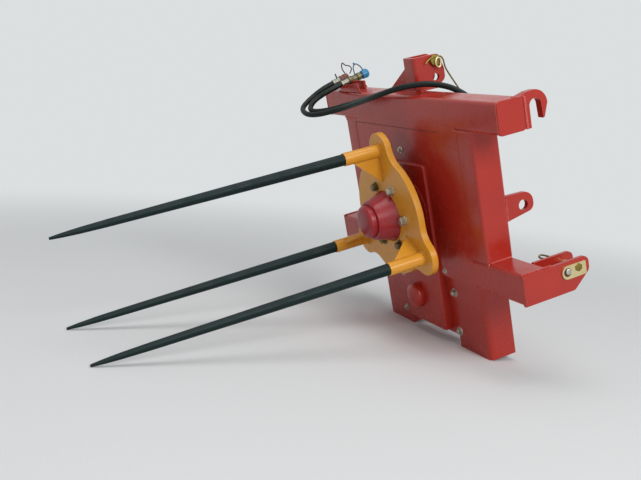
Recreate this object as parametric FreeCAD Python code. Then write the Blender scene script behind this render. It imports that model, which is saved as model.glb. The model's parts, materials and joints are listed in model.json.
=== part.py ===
"""Bale unwinder: a tractor implement with a hydraulic rotor that carries three tines.

A welded frame of square tube has a three-point hitch and a loader hitch at the back. The
rotor stands in front of the frame's front plate, and a hydraulic motor turns it by a chain.
The frame is drawn upright, then leant forward on its two legs until the lower tines' tips
touch the ground, which is how the implement parks.

Upright frame: X to the implement's right seen from behind it, Y backwards to the hitch,
Z up. The front faces of the tubes lie at Y = 0 and the feet of the legs at Z = 0.
Millimetres.
"""
import FreeCAD, Part
import math
import os

V = FreeCAD.Vector

# ---------------------------------------------------------------- driving dimensions
TUBE = 100.0                 # side of the square frame tube
TUBE_WALL = 6.0
TUBE_CORNER = 12.0           # outer corner radius of the frame tube
BEAM_LENGTH = 1172.0         # overall, with its end caps
BEAM_BOTTOM_Z = 803.0
CAP_THICKNESS = 6.0
POST_OUTER_X = 435.0         # outer face of each post
ARM_BOTTOM_Z = 272.0         # underside of the arms and the lower crossbeam

SHEET = 8.0                  # folded front sheet and the backs of the legs
SHEET_RECESS = 18.0          # front sheet behind the tubes' front faces
SHEET_BEND = 20.0            # outer bend radius
LEG_OUTER_X = 350.0
LEG_WIDTH = 185.0
LEG_DEPTH = 100.0
NOTCH_HEIGHT = 44.0          # cut-out between the two feet

COVER_HALF_WIDTH = 122.0     # raised pan over the drive chain
COVER_TOP_Z = 667.0
COVER_BOTTOM_Z = 56.0
COVER_RISE = 16.0
COVER_SHEET = 4.0

CASE_HALF_WIDTH = 120.0      # chain case behind the front sheet
CASE_TOP_Z = 655.0
CASE_BOTTOM_Z = 75.0
CASE_SHEET = 6.0

EAR_THICKNESS = 12.0
EAR_OUTER_X = 614.0          # outer face of the outer lower-link ear
EAR_GAP = 62.0
LOWER_PIN_Y = 213.0
LOWER_PIN_Z = 338.0
LOWER_PIN_DIA = 28.0         # category 2 lower-link pin
PIN_FIT = 0.2                # radial clearance of a hitch pin in its ear
EAR_END_RADIUS = 38.0

FLAG_LENGTH = 92.0
FLAG_HEIGHT = 44.0
FLAG_THICKNESS = 8.0

TOP_HOLE_RISE = 37.0         # lower top-link hole above the beam; the mast is then 602
TOP_HOLE_Y = 145.0
TOP_HOLE_SPACING = 58.0
TOP_HOLE_DIA = 25.4
TOP_EAR_GAP = 54.0
TOP_EAR_THICKNESS = 12.0
TOP_WEB_Y = 64.0             # front face of the bracket's web
TOP_EDGE = 20.0              # steel above the upper top-link holes
TOP_EAR_RADIUS = 37.0        # ear behind the lower top-link hole
TOP_FOLD = 14.0              # outer bend radius between the web and an ear
STAY_LENGTH = 142.0          # triangular stay beside the bracket
STAY_HEIGHT = 85.0
STAY_THICKNESS = 10.0
PIN_HEAD_DIA = 38.0          # head of the top-link pin
PIN_HEAD = 12.0
PIN_OVERHANG = 20.0

EURO_SEAT_Y = 137.0          # centre of the loader's cross tube in the hook
EURO_SEAT_Z = 868.0
EURO_SEAT_RADIUS = 21.0
EURO_HOOK_THICKNESS = 26.0
EURO_HOOK_RADIUS = 46.5
EURO_HOOK_TOE = 28.0         # how far the hook reaches over the beam's top
EURO_PRONG = 44.0            # prong below the seat's centre
EURO_PITCH = 340.0           # hook seat to locking-pin hole
EURO_EYE_Y = 166.0
EURO_EYE_RADIUS = 40.0
EURO_EYE_HOLE_DIA = 35.0
EURO_EYE_THICKNESS = 18.0
EURO_EYE_OUTER_X = 428.0

ROTOR_Z = 496.0
ROTOR_PLATE_BACK_Y = -80.0
ROTOR_PLATE_THICKNESS = 25.0
ROTOR_DISC_RADIUS = 215.0
ROTOR_EAR_RADIUS = 62.0
ROTOR_EAR_BLEND = 75.0
TINE_CIRCLE_RADIUS = 236.0
TINE_COUNT = 3
SOCKET_DIA = 46.0
SOCKET_FRONT_Y = -240.0
TINE_DIA = 40.0
TINE_LENGTH = 1006.0         # from the socket to the tip
TINE_TAPER_LENGTH = 855.0    # long taper before the point
TINE_POINT_DIA = 22.0        # where the point starts
TINE_TIP_DIA = 9.0           # blunt end
SHANK_DIA = 28.0
SHANK_FIT = 0.2
GUSSET_THICKNESS = 10.0
GUSSET_FRONT_Y = -205.0
GUSSET_INNER_RADIUS = 122.0
NUT_ACROSS_FLATS = 41.0
NUT_HEIGHT = 18.0

HUB_BASE_RADIUS = 92.0
HUB_FRONT_RADIUS = 63.0
HUB_LENGTH = 85.0
HUB_SHOULDER = 10.0          # chamfer at the front of the hub
HUB_CAP_RADIUS = 34.0
HUB_CAP_LENGTH = 64.0
HUB_CAP_CHAMFER = 5.0
HUB_BOLT_CIRCLE_RADIUS = 114.0
HUB_BOLT_COUNT = 6
HUB_BOLT_FLATS = 24.0
HUB_BOLT_HEAD = 15.0
HUB_WASHER_DIA = 37.0
HUB_WASHER = 3.0             # thickness
HUB_FLANGE_RADIUS = 130.0
HUB_FLANGE_THICKNESS = 14.0

SHAFT_DIA = 60.0
SHAFT_FIT = 0.08             # radial running clearance in the bearing housing
HOUSING_RADIUS = 85.0
HOUSING_FLANGE_RADIUS = 112.0
HOUSING_FLANGE_THICKNESS = 16.0
ROTOR_GAP = 8.0              # axial gap between the bearing housing and the rotor

MOTOR_X = -51.0
MOTOR_Z = 165.0
MOTOR_RADIUS = 52.0
MOTOR_LENGTH = 125.0
MOTOR_FLANGE_RADIUS = 70.0
MOTOR_FLANGE_THICKNESS = 16.0
MOTOR_PORT_BLOCK = 38.0      # end cover with the two ports, along the motor
MOTOR_PORT_SPACING = 54.0
MOTOR_PORT_TOP = 60.0        # top of the ports above the motor's axis
SHAFT_CAP_RADIUS = 46.0
SHAFT_CAP_HEIGHT = 40.0

HOSE_DIA = 20.0              # hydraulic hose, outside
BEND_SHARE = 0.45            # share of the shorter run that a bend takes
FERRULE_DIA = 26.0
FERRULE_LENGTH = 34.0
PORT_NUT_FLATS = 30.0
PORT_NUT = 14.0
FRONT_COUPLING_INSET = 86.0  # from the beam's left end to the front hose's coupling
FRONT_COUPLING_Y = 1.0
FRONT_COUPLING_RISE = 30.0   # where the hose meets its ferrule, above the beam
REAR_COUPLING_INSET = 136.0
REAR_COUPLING_Y = 13.5
REAR_COUPLING_RISE = 24.5
COUPLING_RISE = 11.0         # degrees; couplings point backwards and a little up
COUPLING_NUT_FLATS = 30.0
COUPLING_NUT = 16.0
COUPLING_DIA = 32.0
REAR_COUPLING_LENGTH = 44.0
BLUE_CAP_DIA = 37.0
BLUE_CAP_LENGTH = 34.0
RED_CAP_DIA = 32.0
RED_CAP_LENGTH = 36.0
HOLDER_Y = 50.0              # front face of the plate that holds the couplings
HOLDER_THICKNESS = 8.0
HOLDER_HEIGHT = 34.0
HOLDER_INSET = 46.0          # from the beam's left end
HOLDER_LENGTH = 210.0

# ---------------------------------------------------------------- worked out from them
BEAM_TOP_Z = BEAM_BOTTOM_Z + TUBE
ARM_TOP_Z = ARM_BOTTOM_Z + TUBE
POST_INNER_X = POST_OUTER_X - TUBE
EAR_INNER_X = EAR_OUTER_X - EAR_THICKNESS
TOP_HOLE_Z = BEAM_TOP_Z + TOP_HOLE_RISE
TOP_LINK_CORNER = 22.0
TOP_BRACKET_Z = TOP_HOLE_Z + TOP_HOLE_SPACING + TOP_EDGE
ROTOR_PLATE_FRONT_Y = ROTOR_PLATE_BACK_Y - ROTOR_PLATE_THICKNESS
EURO_EYE_Z = EURO_SEAT_Z - EURO_PITCH
BEAM_HALF = BEAM_LENGTH / 2
FRONT_COUPLING = V(FRONT_COUPLING_INSET - BEAM_HALF, FRONT_COUPLING_Y, BEAM_TOP_Z + FRONT_COUPLING_RISE)
REAR_COUPLING = V(REAR_COUPLING_INSET - BEAM_HALF, REAR_COUPLING_Y, BEAM_TOP_Z + REAR_COUPLING_RISE)
SHEET_BACK_Y = SHEET_RECESS + SHEET
COVER_Y = SHEET_RECESS - COVER_RISE
TINE_ANGLES = [90.0 + k * 360.0 / TINE_COUNT for k in range(TINE_COUNT)]

X_AXIS = V(1, 0, 0)
Y_AXIS = V(0, 1, 0)
Z_AXIS = V(0, 0, 1)
COUPLING_AXIS = V(0, math.cos(math.radians(COUPLING_RISE)), math.sin(math.radians(COUPLING_RISE)))


# ---------------------------------------------------------------- basic shapes
def block(x0, x1, y0, y1, z0, z1):
    return Part.makeBox(x1 - x0, y1 - y0, z1 - z0, V(x0, y0, z0))


def rod(radius, start, end):
    direction = end - start
    return Part.makeCylinder(radius, direction.Length, start, direction)


def rounded_block(x0, x1, y0, y1, z0, z1, radius, axis):
    """A block whose four edges along one axis are rounded."""
    shape = block(x0, x1, y0, y1, z0, z1)
    edges = [e for e in shape.Edges if abs(e.tangentAt(e.FirstParameter).dot(axis)) > 0.99]
    return shape.makeFillet(radius, edges)


def tube(x0, x1, y0, y1, z0, z1, axis, wall=TUBE_WALL, corner=TUBE_CORNER):
    """Rectangular hollow section, open at both ends."""
    outer = rounded_block(x0, x1, y0, y1, z0, z1, corner, axis)
    ends = V(1, 1, 1) - axis
    low = V(x0, y0, z0) + ends * wall - axis
    high = V(x1, y1, z1) - ends * wall + axis
    inner = rounded_block(low.x, high.x, low.y, high.y, low.z, high.z, corner - wall, axis)
    return outer.cut(inner)


def plate_yz(outline, x0, x1):
    """A flat plate cut to a closed wire in the Y-Z plane at X = 0, from x0 to x1."""
    face = Part.Face(outline)
    face.translate(V(x0, 0, 0))
    return face.extrude(V(x1 - x0, 0, 0))


def prism(flats, centre, axis, height):
    """Hexagonal head or nut that stands on its centre point along an axis without an X part."""
    radius = flats / math.sqrt(3)
    side = axis.cross(X_AXIS)
    points = []
    for k in range(7):
        turn = math.radians(60 * k)
        points.append(centre + X_AXIS * (radius * math.cos(turn)) + side * (radius * math.sin(turn)))
    return Part.Face(Part.makePolygon(points)).extrude(axis * height)


def outline(points):
    """Closed wire through Y-Z points. A point with a radius is rounded by an arc there."""
    count = len(points)
    corners = []
    for i, point in enumerate(points):
        here = V(0, point[0], point[1])
        radius = point[2] if len(point) > 2 else 0.0
        before = V(0, points[i - 1][0], points[i - 1][1]) - here
        after = V(0, points[(i + 1) % count][0], points[(i + 1) % count][1]) - here
        if radius == 0.0:
            corners.append((here, None, here))
            continue
        before.normalize()
        after.normalize()
        half = before.getAngle(after) / 2
        setback = radius / math.tan(half)
        middle = before + after
        middle.normalize()
        centre = here + middle * (radius / math.sin(half))
        corners.append((here + before * setback, centre - middle * radius, here + after * setback))
    edges = []
    for i, (start, middle, end) in enumerate(corners):
        if middle is not None:
            edges.append(Part.Arc(start, middle, end).toShape())
        following = corners[(i + 1) % count][0]
        if (following - end).Length > 1e-6:
            edges.append(Part.LineSegment(end, following).toShape())
    return Part.Wire(edges)


def turned(profile):
    """Solid of revolution about the Y axis from (radius, y) points."""
    corners = [V(radius, y, 0) for radius, y in profile]
    return Part.Face(Part.makePolygon(corners + corners[:1])).revolve(V(0, 0, 0), Y_AXIS, 360)


def hose(name, points):
    """Straight runs joined by tangent arcs. Each bend takes the same share of its shorter run."""
    edges = []
    radii = []
    start = points[0]
    for before, corner, after in zip(points, points[1:], points[2:]):
        toward = before - corner
        onward = after - corner
        setback = BEND_SHARE * min(toward.Length, onward.Length)
        toward.normalize()
        onward.normalize()
        half = toward.getAngle(onward) / 2
        middle = toward + onward
        middle.normalize()
        to_centre = setback / math.cos(half)
        radius = setback * math.tan(half)
        radii.append(round(radius))
        first = corner + toward * setback
        last = corner + onward * setback
        edges.append(Part.LineSegment(start, first).toShape())
        edges.append(Part.Arc(first, corner + middle * (to_centre - radius), last).toShape())
        start = last
    edges.append(Part.LineSegment(start, points[-1]).toShape())
    path = Part.Wire(edges)
    print(name, "length", round(path.Length), "bend radii", radii)
    section = Part.Wire(Part.makeCircle(HOSE_DIA / 2, points[0], points[1] - points[0]))
    return path.makePipeShell([section], True, False)


def mirrored(shape):
    return shape.mirror(V(0, 0, 0), X_AXIS)


def tine_axis_point(angle, y):
    """Point on a tine's axis at a given Y."""
    turn = math.radians(angle)
    return V(TINE_CIRCLE_RADIUS * math.cos(turn), y, ROTOR_Z + TINE_CIRCLE_RADIUS * math.sin(turn))


def around_rotor(shape, angle):
    """A copy turned about the rotor's axis, from the top (90 degrees) to an angle."""
    copy = shape.copy()
    copy.rotate(V(0, 0, ROTOR_Z), Y_AXIS, 90.0 - angle)
    return copy


# ---------------------------------------------------------------- welded frame
def top_beam():
    inner = BEAM_HALF - CAP_THICKNESS
    return tube(-inner, inner, 0, TUBE, BEAM_BOTTOM_Z, BEAM_TOP_Z, X_AXIS)


def beam_end_caps():
    x0 = BEAM_HALF - CAP_THICKNESS
    cap = rounded_block(x0, BEAM_HALF, 0, TUBE, BEAM_BOTTOM_Z, BEAM_TOP_Z, TUBE_CORNER, X_AXIS)
    return Part.makeCompound([cap, mirrored(cap)])


def right_post():
    return tube(POST_INNER_X, POST_OUTER_X, 0, TUBE, ARM_TOP_Z, BEAM_BOTTOM_Z, Z_AXIS)


def lower_crossbeam():
    """Two tubes between the posts and the chain case, behind the front sheet."""
    right = tube(CASE_HALF_WIDTH, POST_INNER_X, SHEET_BACK_Y, TUBE, ARM_BOTTOM_Z, ARM_TOP_Z, X_AXIS)
    return Part.makeCompound([right, mirrored(right)])


def right_arm():
    """Tube under the post that reaches out to the outer ear, capped at its inner end."""
    x0 = POST_INNER_X + CAP_THICKNESS
    cap = rounded_block(POST_INNER_X, x0, 0, TUBE, ARM_BOTTOM_Z, ARM_TOP_Z, TUBE_CORNER, X_AXIS)
    return tube(x0, EAR_INNER_X, 0, TUBE, ARM_BOTTOM_Z, ARM_TOP_Z, X_AXIS).fuse(cap)


def front_sheet():
    """Sheet between the posts, folded back below them into the outer sides of both legs."""
    half = LEG_OUTER_X
    back = SHEET_RECESS + LEG_DEPTH
    upper = block(-POST_INNER_X, POST_INNER_X, SHEET_RECESS, SHEET_BACK_Y, ARM_BOTTOM_Z, BEAM_BOTTOM_Z)
    outer = rounded_block(-half, half, SHEET_RECESS, back + 60, 0, ARM_BOTTOM_Z, SHEET_BEND, Z_AXIS)
    inner = rounded_block(-half + SHEET, half - SHEET, SHEET_BACK_Y, back + 60 - SHEET,
                          -1, ARM_BOTTOM_Z + 1, SHEET_BEND - SHEET, Z_AXIS)
    lower = outer.cut(inner).common(block(-half, half, 0, back, 0, ARM_BOTTOM_Z))
    notch = LEG_OUTER_X - LEG_WIDTH
    lower = lower.cut(block(-notch, notch, 0, back, -1, NOTCH_HEIGHT))
    return upper.fuse(lower).removeSplitter()


def right_leg_back():
    """Angle that closes the leg behind the front sheet: its inner side and its back."""
    x0 = LEG_OUTER_X - LEG_WIDTH
    x1 = LEG_OUTER_X - SHEET
    y1 = SHEET_RECESS + LEG_DEPTH
    solid = block(x0, x1, SHEET_BACK_Y, y1, 0, ARM_BOTTOM_Z)
    hollow = block(x0 + SHEET, x1 + 1, SHEET_BACK_Y - 1, y1 - SHEET, -1, ARM_BOTTOM_Z + 1)
    bend = [e for e in solid.Edges if abs(e.Vertexes[0].X - x0) < 0.01 and abs(e.Vertexes[0].Y - y1) < 0.01
            and abs(e.tangentAt(e.FirstParameter).z) > 0.99]
    return solid.makeFillet(SHEET_BEND - SHEET, bend).cut(hollow)


def chain_cover():
    """Shallow pan on the front sheet, with a hole for the motor's shaft and the axle."""
    half = COVER_HALF_WIDTH
    pan = rounded_block(-half, half, COVER_Y, SHEET_RECESS, COVER_BOTTOM_Z, COVER_TOP_Z, 12, Y_AXIS)
    inside = rounded_block(-half + COVER_SHEET, half - COVER_SHEET, COVER_Y + COVER_SHEET,
                           SHEET_RECESS + 1, COVER_BOTTOM_Z + COVER_SHEET, COVER_TOP_Z - COVER_SHEET,
                           12 - COVER_SHEET, Y_AXIS)
    axle_hole = rod(SHAFT_DIA / 2 + 5, V(0, COVER_Y - 1, ROTOR_Z), V(0, SHEET_RECESS, ROTOR_Z))
    return pan.cut(inside).cut(axle_hole)


def chain_case():
    """Welded box behind the front sheet, closed in front by the sheet itself."""
    half = CASE_HALF_WIDTH
    case = block(-half, half, SHEET_BACK_Y, TUBE, CASE_BOTTOM_Z, CASE_TOP_Z)
    inside = block(-half + CASE_SHEET, half - CASE_SHEET, SHEET_BACK_Y - 1, TUBE - CASE_SHEET,
                   CASE_BOTTOM_Z + CASE_SHEET, CASE_TOP_Z - CASE_SHEET)
    return case.cut(inside)


def shaft_cap():
    """Domed cap over the end of the motor's shaft."""
    radius = SHAFT_CAP_RADIUS
    front = COVER_Y - SHAFT_CAP_HEIGHT
    solid = turned([
        (0, COVER_Y), (radius, COVER_Y), (radius, front + 14), (radius - 8, front + 4),
        (radius - 26, front), (0, front),
    ])
    solid.translate(V(MOTOR_X, 0, MOTOR_Z))
    return solid


def bearing_housing():
    front = ROTOR_PLATE_BACK_Y + HUB_FLANGE_THICKNESS + ROTOR_GAP
    seat = V(0, COVER_Y, ROTOR_Z)
    flange = rod(HOUSING_FLANGE_RADIUS, seat, seat - Y_AXIS * HOUSING_FLANGE_THICKNESS)
    barrel = rod(HOUSING_RADIUS, seat, V(0, front, ROTOR_Z))
    bore = rod(SHAFT_DIA / 2 + SHAFT_FIT, V(0, COVER_Y + 1, ROTOR_Z), V(0, front - 1, ROTOR_Z))
    return flange.fuse(barrel).cut(bore)


# ---------------------------------------------------------------- hitch
def ear_outline(front_y):
    """Lower-link ear: straight top edge, rounded end and chamfered lower corner."""
    return outline([
        (front_y, ARM_BOTTOM_Z),
        (front_y, ARM_TOP_Z),
        (LOWER_PIN_Y + EAR_END_RADIUS, ARM_TOP_Z, 22),
        (LOWER_PIN_Y + EAR_END_RADIUS, LOWER_PIN_Z - 14, 20),
        (LOWER_PIN_Y - 24, ARM_BOTTOM_Z, 12),
    ])


def right_ears():
    hole = rod(LOWER_PIN_DIA / 2 + PIN_FIT, V(EAR_OUTER_X - 200, LOWER_PIN_Y, LOWER_PIN_Z),
               V(EAR_OUTER_X + 1, LOWER_PIN_Y, LOWER_PIN_Z))
    outer = plate_yz(ear_outline(0), EAR_INNER_X, EAR_OUTER_X).cut(hole)
    inner_x = EAR_INNER_X - EAR_GAP
    inner = plate_yz(ear_outline(TUBE), inner_x - EAR_THICKNESS, inner_x).cut(hole)
    return Part.makeCompound([outer, inner])


def right_lower_pin():
    """Hitch pin through both ears, with the flag plate that keeps it from turning."""
    inner_end = EAR_INNER_X - EAR_GAP - EAR_THICKNESS - 38
    pin = rod(LOWER_PIN_DIA / 2, V(inner_end, LOWER_PIN_Y, LOWER_PIN_Z),
              V(EAR_OUTER_X, LOWER_PIN_Y, LOWER_PIN_Z))
    flag = rounded_block(EAR_OUTER_X, EAR_OUTER_X + FLAG_THICKNESS,
                         LOWER_PIN_Y + 22 - FLAG_LENGTH, LOWER_PIN_Y + 22,
                         LOWER_PIN_Z - FLAG_HEIGHT / 2, LOWER_PIN_Z + FLAG_HEIGHT / 2, 9, X_AXIS)
    return pin.fuse(flag)


def top_link_bracket():
    """Channel of bent plate: a front web and two ears with two top-link holes each."""
    outer = TOP_EAR_GAP / 2 + TOP_EAR_THICKNESS
    rear = TOP_HOLE_Y + TOP_EAR_RADIUS
    ear = plate_yz(outline([
        (TOP_WEB_Y, BEAM_TOP_Z),
        (TOP_WEB_Y, TOP_BRACKET_Z),
        (TOP_HOLE_Y + TOP_LINK_CORNER, TOP_BRACKET_Z, TOP_LINK_CORNER - 4),
        (rear, TOP_HOLE_Z + TOP_LINK_CORNER, TOP_EAR_RADIUS),
        (rear, TOP_HOLE_Z - TOP_LINK_CORNER / 2, TOP_LINK_CORNER),
        (TOP_HOLE_Y, BEAM_TOP_Z),
    ]), -outer, outer)
    inside = block(-TOP_EAR_GAP / 2, TOP_EAR_GAP / 2, TOP_WEB_Y + TOP_EAR_THICKNESS, rear + 1,
                   BEAM_TOP_Z - 1, TOP_BRACKET_Z + 1)
    folds = [e for e in ear.Edges if abs(e.BoundBox.YMax - TOP_WEB_Y) < 0.01
             and e.BoundBox.XLength < 0.01]
    bracket = ear.makeFillet(TOP_FOLD, folds).cut(inside)
    for z in (TOP_HOLE_Z, TOP_HOLE_Z + TOP_HOLE_SPACING):
        hole = rod(TOP_HOLE_DIA / 2, V(-outer - 1, TOP_HOLE_Y, z), V(outer + 1, TOP_HOLE_Y, z))
        bracket = bracket.cut(hole)
    return bracket


def bracket_stay():
    """Triangular stay on the beam, beside the top-link bracket."""
    x = -(TOP_EAR_GAP / 2 + TOP_EAR_THICKNESS)
    y = TOP_WEB_Y + TOP_FOLD
    points = [V(x, y, BEAM_TOP_Z), V(x - STAY_LENGTH, y, BEAM_TOP_Z), V(x, y, BEAM_TOP_Z + STAY_HEIGHT),
              V(x, y, BEAM_TOP_Z)]
    return Part.Face(Part.makePolygon(points)).extrude(V(0, STAY_THICKNESS, 0))


def top_link_pin():
    """Top-link pin parked in the upper holes, with its head on the right."""
    radius = TOP_HOLE_DIA / 2 - PIN_FIT
    z = TOP_HOLE_Z + TOP_HOLE_SPACING
    outer = TOP_EAR_GAP / 2 + TOP_EAR_THICKNESS
    pin = rod(radius, V(-outer - PIN_OVERHANG, TOP_HOLE_Y, z), V(outer, TOP_HOLE_Y, z))
    head = rod(PIN_HEAD_DIA / 2, V(outer, TOP_HOLE_Y, z), V(outer + PIN_HEAD, TOP_HOLE_Y, z))
    return pin.fuse(head).removeSplitter()


def right_euro_hook():
    """Loader hook on the back of the beam's end, open downwards, with a toe over the beam."""
    y = EURO_SEAT_Y
    z = EURO_SEAT_Z
    seat = EURO_SEAT_RADIUS
    back = EURO_HOOK_RADIUS
    shank = y - seat
    tip_z = z - EURO_PRONG
    diagonal = back * math.sqrt(0.5)
    corners = [
        Part.LineSegment(V(0, shank, BEAM_BOTTOM_Z), V(0, TUBE, BEAM_BOTTOM_Z)),
        Part.LineSegment(V(0, TUBE, BEAM_BOTTOM_Z), V(0, TUBE, BEAM_TOP_Z)),
        Part.LineSegment(V(0, TUBE, BEAM_TOP_Z), V(0, TUBE - EURO_HOOK_TOE, BEAM_TOP_Z)),
        Part.LineSegment(V(0, TUBE - EURO_HOOK_TOE, BEAM_TOP_Z), V(0, shank - 4, z + back - 1.5)),
        Part.LineSegment(V(0, shank - 4, z + back - 1.5), V(0, y - 2, z + back)),
        Part.Arc(V(0, y - 2, z + back), V(0, y - 2 + diagonal, z + diagonal), V(0, y - 2 + back, z)),
        Part.LineSegment(V(0, y - 2 + back, z), V(0, y + seat + 9, tip_z + 3)),
        Part.LineSegment(V(0, y + seat + 9, tip_z + 3), V(0, y + seat + 3, tip_z)),
        Part.LineSegment(V(0, y + seat + 3, tip_z), V(0, y + seat, z)),
        Part.Arc(V(0, y + seat, z), V(0, y, z + seat), V(0, shank, z)),
        Part.LineSegment(V(0, shank, z), V(0, shank, BEAM_BOTTOM_Z)),
    ]
    wire = Part.Wire([edge.toShape() for edge in corners])
    return plate_yz(wire, BEAM_HALF - EURO_HOOK_THICKNESS, BEAM_HALF)


def right_euro_eye():
    """Locking-pin eye on the back of the post."""
    y = EURO_EYE_Y
    z = EURO_EYE_Z
    r = EURO_EYE_RADIUS
    wire = outline([
        (TUBE, z - 40),
        (TUBE, z + 45),
        (y + r, z + r, r - 4),
        (y + r, z - 22, 24),
    ])
    hole = rod(EURO_EYE_HOLE_DIA / 2, V(0, y, z), V(EURO_EYE_OUTER_X + 1, y, z))
    return plate_yz(wire, EURO_EYE_OUTER_X - EURO_EYE_THICKNESS, EURO_EYE_OUTER_X).cut(hole)


# ---------------------------------------------------------------- rotor
def trefoil_wire():
    """Outline of the rotor plate: a disc with three rounded ears, blended by hollow arcs."""
    # The blend circle touches the disc and the ear circle from outside.
    disc = ROTOR_DISC_RADIUS
    ear = ROTOR_EAR_RADIUS
    blend = ROTOR_EAR_BLEND
    pitch = TINE_CIRCLE_RADIUS
    to_disc = disc + blend
    to_ear = ear + blend
    cosine = (pitch ** 2 + to_disc ** 2 - to_ear ** 2) / (2 * pitch * to_disc)
    offset = math.acos(cosine)

    def polar(radius, angle):
        return V(radius * math.cos(angle), 0, radius * math.sin(angle))

    edges = []
    step = 2 * math.pi / TINE_COUNT
    for k in range(TINE_COUNT):
        middle = math.pi / 2 + k * step
        ear_centre = polar(pitch, middle)
        arcs = []
        for side in (-1, 1):
            blend_centre = polar(to_disc, middle + side * offset)
            on_disc = polar(disc, middle + side * offset)
            toward_ear = ear_centre - blend_centre
            toward_ear.normalize()
            on_ear = blend_centre + toward_ear * blend
            bisector = (on_disc - blend_centre) + (on_ear - blend_centre)
            bisector.normalize()
            arcs.append((on_disc, blend_centre + bisector * blend, on_ear))
        (disc_in, blend_in, ear_in), (disc_out, blend_out, ear_out) = arcs
        edges.append(Part.Arc(disc_in, blend_in, ear_in).toShape())
        edges.append(Part.Arc(ear_in, polar(pitch + ear, middle), ear_out).toShape())
        edges.append(Part.Arc(ear_out, blend_out, disc_out).toShape())
        next_in = polar(disc, middle + step - offset)
        edges.append(Part.Arc(disc_out, polar(disc, middle + step / 2), next_in).toShape())
    wire = Part.Wire(edges)
    wire.translate(V(0, ROTOR_PLATE_BACK_Y, ROTOR_Z))
    return wire


def rotor_plate():
    plate = Part.Face(trefoil_wire()).extrude(V(0, -ROTOR_PLATE_THICKNESS, 0))
    centre_hole = rod(HUB_BASE_RADIUS + 0.5, V(0, ROTOR_PLATE_BACK_Y + 1, ROTOR_Z),
                      V(0, ROTOR_PLATE_FRONT_Y - 1, ROTOR_Z))
    plate = plate.cut(centre_hole)
    for angle in TINE_ANGLES:
        plate = plate.cut(rod(SOCKET_DIA / 2, tine_axis_point(angle, ROTOR_PLATE_BACK_Y + 1),
                              tine_axis_point(angle, ROTOR_PLATE_FRONT_Y - 1)))
    return plate


def tine_sockets():
    sockets = []
    for angle in TINE_ANGLES:
        back = tine_axis_point(angle, ROTOR_PLATE_BACK_Y)
        front = tine_axis_point(angle, SOCKET_FRONT_Y)
        wall = rod(SOCKET_DIA / 2, back, front)
        bore = rod(SHANK_DIA / 2 + SHANK_FIT, back + Y_AXIS, front - Y_AXIS)
        sockets.append(wall.cut(bore))
    return Part.makeCompound(sockets)


def socket_gussets():
    """One triangular gusset per socket, between the socket and the plate, towards the hub."""
    half = GUSSET_THICKNESS / 2
    top_z = ROTOR_Z + TINE_CIRCLE_RADIUS - SOCKET_DIA / 2 + 1.0
    low_z = ROTOR_Z + GUSSET_INNER_RADIUS
    points = [
        V(-half, ROTOR_PLATE_FRONT_Y, low_z),
        V(-half, ROTOR_PLATE_FRONT_Y, top_z),
        V(-half, GUSSET_FRONT_Y, top_z),
        V(-half, ROTOR_PLATE_FRONT_Y, low_z),
    ]
    blank = Part.Face(Part.makePolygon(points)).extrude(V(GUSSET_THICKNESS, 0, 0))
    socket = rod(SOCKET_DIA / 2, tine_axis_point(90, 0), tine_axis_point(90, SOCKET_FRONT_Y))
    gusset = blank.cut(socket)
    return Part.makeCompound([around_rotor(gusset, angle) for angle in TINE_ANGLES])


def tine(angle):
    """Forged tine: long taper to a blunt point, with a straight shank through its socket."""
    base = SOCKET_FRONT_Y
    tip_y = base - TINE_LENGTH
    shank_end = ROTOR_PLATE_BACK_Y + NUT_HEIGHT + 8
    profile = [
        (0, shank_end), (SHANK_DIA / 2, shank_end), (SHANK_DIA / 2, base), (TINE_DIA / 2, base),
        (TINE_POINT_DIA / 2, base - TINE_TAPER_LENGTH), (TINE_TIP_DIA / 2, tip_y), (0, tip_y),
    ]
    solid = turned(profile)
    axis_point = tine_axis_point(angle, 0)
    solid.translate(V(axis_point.x, 0, axis_point.z))
    return solid


def tine_nuts():
    """Hexagon nuts that pull the shanks into the sockets, behind the plate."""
    nuts = []
    for angle in TINE_ANGLES:
        nut = prism(NUT_ACROSS_FLATS, tine_axis_point(angle, ROTOR_PLATE_BACK_Y), Y_AXIS, NUT_HEIGHT)
        hole = rod(SHANK_DIA / 2 + SHANK_FIT, tine_axis_point(angle, ROTOR_PLATE_BACK_Y - 1),
                   tine_axis_point(angle, ROTOR_PLATE_BACK_Y + NUT_HEIGHT + 1))
        nuts.append(nut.cut(hole))
    return Part.makeCompound(nuts)


def hub():
    """Bell-shaped hub: a flange behind the plate, a cone through it and a shoulder in front."""
    back = ROTOR_PLATE_BACK_Y
    front = ROTOR_PLATE_FRONT_Y
    nose = front - HUB_LENGTH
    bore = SHAFT_DIA / 2
    solid = turned([
        (bore, back + HUB_FLANGE_THICKNESS), (HUB_FLANGE_RADIUS, back + HUB_FLANGE_THICKNESS),
        (HUB_FLANGE_RADIUS, back), (HUB_BASE_RADIUS, back), (HUB_BASE_RADIUS, front),
        (HUB_FRONT_RADIUS, nose + HUB_SHOULDER), (HUB_FRONT_RADIUS - HUB_SHOULDER, nose), (bore, nose),
    ])
    solid.translate(V(0, 0, ROTOR_Z))
    return solid


def hub_cap():
    """Grease cap on the hub's nose."""
    front = ROTOR_PLATE_FRONT_Y - HUB_LENGTH
    end = front - HUB_CAP_LENGTH
    solid = turned([
        (0, front), (HUB_CAP_RADIUS, front), (HUB_CAP_RADIUS, end + HUB_CAP_CHAMFER),
        (HUB_CAP_RADIUS - HUB_CAP_CHAMFER, end), (0, end),
    ])
    solid.translate(V(0, 0, ROTOR_Z))
    return solid


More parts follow.
